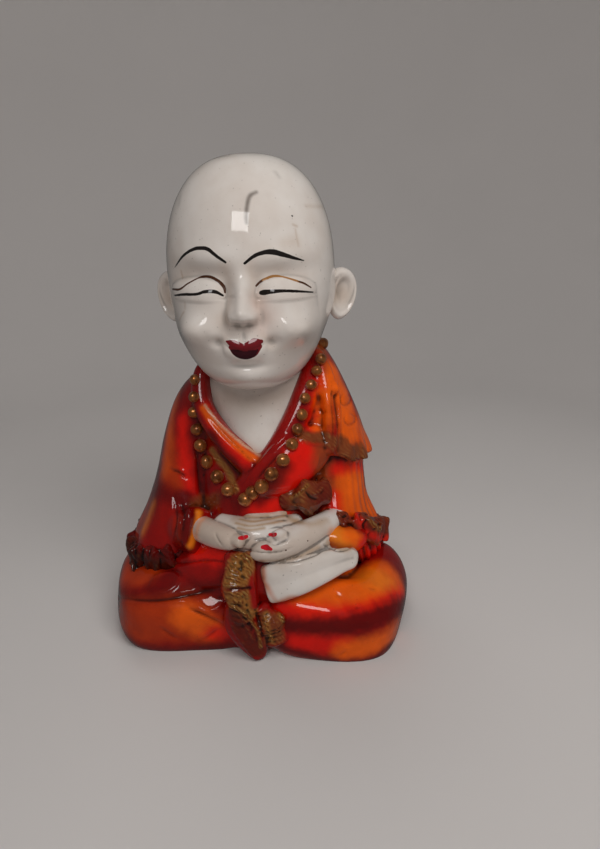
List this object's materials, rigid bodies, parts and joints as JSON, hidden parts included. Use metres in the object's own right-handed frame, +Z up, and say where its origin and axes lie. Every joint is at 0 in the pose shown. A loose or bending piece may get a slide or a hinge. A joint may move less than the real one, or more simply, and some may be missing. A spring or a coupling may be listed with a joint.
{
  "type": "baby monk statue",
  "caption": "Small seated toddler monk in meditation, cast in lacquered resin: bald head, closed eyes, crossed robe with bead necklace, shawl over the left shoulder, hands and foot in the lap.",
  "frame": {"origin": "middle of the underside, on the surface that the statue stands on", "axes": "+Z up, the face looks along -Y, +X to the statue's left"},
  "size_m": [0.1094, 0.086, 0.16],
  "materials": {
    "painted_resin": "hand painted in orange, red, gold and white under a thick gloss lacquer"
  },
  "bodies": {
    "root": {"baby_monk_statue": "painted_resin"}
  },
  "joints": []
}
